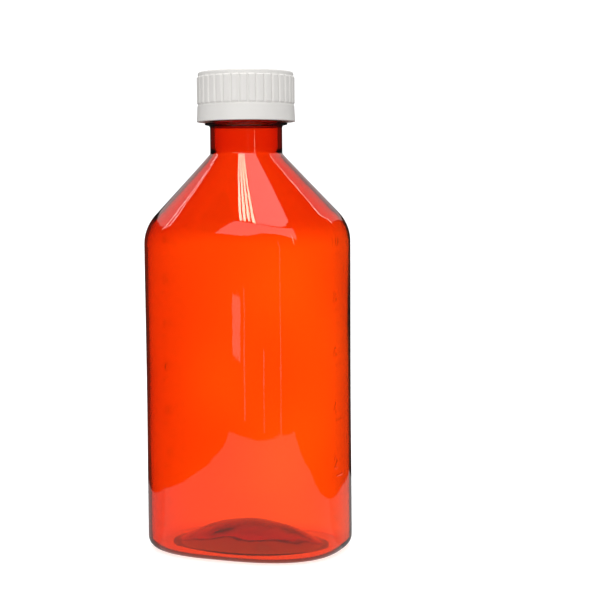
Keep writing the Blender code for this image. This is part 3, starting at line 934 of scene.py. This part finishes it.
def light_paths(tree):
    """The ray's path outputs, and 1 where it crossed two plastic surfaces at most, or else 0.

    Such a ray crossed a single wall, edge on, as happens along the bottle's outline.
    """
    paths = tree.nodes.new("ShaderNodeLightPath")
    thin = tree.nodes.new("ShaderNodeMath")
    thin.operation = "LESS_THAN"
    tree.links.new(paths.outputs["Transmission Depth"], thin.inputs[0])
    thin.inputs[1].default_value = 2.5
    return paths.outputs, thin.outputs[0]


def mixed(tree, factor, low, high):
    """Low where the factor is 0 and high where it is 1. Both may be a number or a socket."""
    node = tree.nodes.new("ShaderNodeMix")
    node.data_type = "FLOAT"
    for name, value in (("Factor", factor), ("A", low), ("B", high)):
        if isinstance(value, float):
            node.inputs[name].default_value = value
        else:
            tree.links.new(value, node.inputs[name])
    return node.outputs["Result"]


def floor_material():
    """Matt white with a faint glow, and as bright as the world as seen through the bottle. Seen through a
    single plastic wall it glows dim, which is painted shade along the bottle's outline.
    """
    made = bpy.data.materials.new("pale_floor")
    made.use_nodes = True
    tree = made.node_tree
    shader = tree.nodes["Principled BSDF"]
    shader.inputs["Base Color"].default_value = (0.93, 0.93, 0.93, 1.0)
    shader.inputs["Roughness"].default_value = 0.9
    shader.inputs["Specular IOR Level"].default_value = 0.0
    shader.inputs["Emission Color"].default_value = (1.0, 1.0, 1.0, 1.0)
    shader.inputs["Emission Strength"].default_value = FLOOR_GLOW
    paths, edge_on = light_paths(tree)
    glowing = tree.nodes.new("ShaderNodeEmission")
    # Painted shade: dim where a ray crossed a single plastic wall, along the bottle's outline.
    tree.links.new(mixed(tree, edge_on, SEEN_THROUGH, OUTLINE_PAINTED_SHADE), glowing.inputs["Strength"])
    either = tree.nodes.new("ShaderNodeMixShader")
    tree.links.new(paths["Is Transmission Ray"], either.inputs["Fac"])
    tree.links.new(shader.outputs["BSDF"], either.inputs[1])
    tree.links.new(glowing.outputs["Emission"], either.inputs[2])
    tree.links.new(either.outputs["Shader"], tree.nodes["Material Output"].inputs["Surface"])
    return made


def make_world():
    """White where it is seen, dimmer as light on matt pieces and nearly dark in reflections. Through a
    single plastic wall it turns dim, which is painted shade along the bottle's outline.
    """
    world = bpy.data.worlds.new("studio")
    bpy.context.scene.world = world
    world.use_nodes = True
    tree = world.node_tree
    paths, edge_on = light_paths(tree)
    lit = mixed(tree, paths["Is Diffuse Ray"], SEEN_WHITE, FILL)
    mirrored = mixed(tree, paths["Is Glossy Ray"], lit, MIRRORED_DARK)
    # Painted shade: dim where a ray crossed a single plastic wall, along the bottle's outline.
    through = mixed(tree, edge_on, SEEN_THROUGH, OUTLINE_PAINTED_SHADE)
    strength = mixed(tree, paths["Is Transmission Ray"], mirrored, through)
    tree.links.new(strength, tree.nodes["Background"].inputs["Strength"])
    tree.nodes["Background"].inputs["Color"].default_value = (1.0, 1.0, 1.0, 1.0)


def oval_card(name, half_width, half_depth, squareness, z, material):
    """A flat oval in the bottle's own axes, seen through the bottle alone."""
    angles = even_angles(96)
    radii = oval_radius(angles, half_width, half_depth, squareness)
    corners = [(r * math.cos(a), r * math.sin(a), z) for r, a in zip(radii, angles)]
    obj = new_object(name, corners, [tuple(range(len(corners)))])
    obj.data.materials.append(material)
    for ray in ("camera", "diffuse", "glossy", "shadow"):
        setattr(obj, "visible_" + ray, False)


def make_contact_shade():
    """Painted shadow: dim glowing cards, seen through the bottle alone, for the shaded floor under the
    push-up and the dark line where its rim meets the floor.
    """
    inset = HEEL_RADIUS + CONTACT_RING
    # Each card is painted shadow. It glows far dimmer than the floor seen through the bottle, because the
    # bottle casts no shadow.
    for name, grow, z, radiance in (
        ("painted_rim_shadow", 2.0 * MM, -0.14 * MM, 0.05),
        ("painted_push_up_shadow", -0.6 * MM, -0.12 * MM, 0.62),
    ):
        half_width, half_depth = HALF_WIDTH - inset + grow, HALF_DEPTH - inset + grow
        oval_card(name, half_width, half_depth, 2.0, z, glow(name, radiance))


def make_floor():
    """A wide white floor. Two dim cards just over it are what the bottle mirrors in its place."""
    reach = FLOOR_REACH
    floor = level_card("floor", -reach, reach, -reach, reach, FLOOR_Z, floor_material(), False)
    floor.visible_glossy = False
    floor.visible_diffuse = False
    front = [(-0.19, -0.24), (0.03, -0.305), (0.135, -0.285), (0.16, -0.13), (0.128, -0.01)]
    side = [(-0.145, -0.01), (-0.15, -0.15)]
    behind = [(0.128, -0.01), (0.107, 0.12), (-0.09, 0.105), (-0.145, -0.01)]
    for name, outline, radiance in (("front", front + side, 0.58), ("behind", behind, 0.36)):
        glowing = glow("near_floor_" + name, radiance)
        card("near_floor_" + name, [(u, v, 0.1 * MM) for u, v in outline], glowing)
    make_contact_shade()


def soft_sun(name, power, direction):
    """A distant lamp with a wide face, which lights the matt pieces and isn't mirrored."""
    light = bpy.data.lights.new(name, "SUN")
    light.energy = power
    light.angle = SUN_SPREAD
    lamp = bpy.data.objects.new(name, light)
    lamp.rotation_euler = direction.to_track_quat("-Z", "Y").to_euler()
    bpy.context.scene.collection.objects.link(lamp)
    lamp.visible_glossy = False
    lamp.visible_transmission = False


def make_suns():
    soft_sun("overhead", OVERHEAD_POWER, Vector((0, 0, -1)))
    soft_sun("from_camera", FRONT_POWER, studio_place(0, 1, 0))


def make_ceiling():
    """Four warm lamps beside a soft panel, which the front of the shoulder mirrors."""
    front, back = CEILING_FRONT_V, CEILING_BACK_V
    lamp, width, gap = glow("lamp", 16.0, (1.0, 0.9, 0.68)), 0.020, 0.0107
    for i in range(4):
        u = -0.152 + (width + gap) * i
        level_card("lamp_%d" % i, u, u + width, front, back, CEILING_Z, lamp)
    left = -0.035
    panel = [(left, back), (0.16, back), (0.166, -0.15), (0.115, -0.23), (left, front)]
    card("ceiling_panel", [(u, v, CEILING_Z) for u, v in panel], glow("ceiling_panel", 2.4))


def make_front():
    """A soft panel over the camera, with a bright edge, and a few faint upright folds."""
    lower_left = [(-0.44, 0.24), (-0.25, 0.235), (-0.15, 0.30)]
    lower_right = [(-0.04, 0.44), (0.11, 0.48), (0.30, 0.35)]
    outline = lower_left + lower_right + [(0.37, 1.05), (-0.33, 0.90)]
    card("front_panel", [(u, FRONT_V, z) for u, z in outline], glow("front_panel", 1.7))
    upright_card("front_edge", 0.235, 0.242, FRONT_V, 0.14, 0.62, glow("front_edge", 8.0))
    upright_card("low_card", -0.338, -0.280, FRONT_V, 0.008, 0.050, glow("low_card", 1.2))
    fold = glow("fold", 0.9)
    for i, (u, top) in enumerate(((0.038, 0.2), (-0.064, 0.04), (-0.167, 0.07))):
        upright_card("fold_%d" % i, u, u + 0.005, FOLD_V, 0.0, top, fold)


def make_back():
    """A wide dim panel behind, edged with bright tubes, which the shoulder's sides mirror."""
    foot, dip, head = 0.68, 0.22, 2.1
    panel = [(-0.8, foot), (-0.2, dip), (0.3, dip), (1.0, foot), (1.0, head), (-0.8, head)]
    card("back_panel", [(u, BACK_V, z) for u, z in panel], glow("back_panel", 0.65))
    tube = glow("tube", 8.0)
    tubes = (("left", -0.83, 0.03), ("left_outer", -0.97, 0.03), ("right", 1.0, 0.05))
    for name, u, width in tubes:
        upright_card("tube_" + name, u, u + width, BACK_V, foot, head, tube)


def make_studio():
    make_world()
    make_floor()
    make_suns()
    make_ceiling()
    make_front()
    make_back()


def make_camera():
    """The photograph's view: a long lens, above the bottle's middle and turned to its +X end."""
    data = bpy.data.cameras.new("camera")
    data.sensor_width = 36.0
    data.lens = CAMERA_LENS
    camera = bpy.data.objects.new("camera", data)
    bpy.context.scene.collection.objects.link(camera)
    turn, pitch = CAMERA_AZIMUTH, CAMERA_PITCH
    forward = Vector((
        -math.sin(turn) * math.cos(pitch), math.cos(turn) * math.cos(pitch), -math.sin(pitch),
    ))
    beside = Vector((math.cos(turn), math.sin(turn), 0.0))
    up = beside.cross(forward)
    ahead = Vector((-math.sin(turn), math.cos(turn), 0.0))
    place = -CAMERA_DISTANCE * ahead + CAMERA_SHIFT * beside + Vector((0, 0, CAMERA_HEIGHT))
    right = beside * math.cos(CAMERA_ROLL) + up * math.sin(CAMERA_ROLL)
    top = up * math.cos(CAMERA_ROLL) - beside * math.sin(CAMERA_ROLL)
    matrix = Matrix((right, top, -forward)).transposed().to_4x4()
    matrix.translation = place
    camera.matrix_world = matrix
    bpy.context.scene.camera = camera


def main():
    bpy.context.scene.view_settings.view_transform = "Standard"
    make_pieces()
    make_studio()
    make_camera()


main()
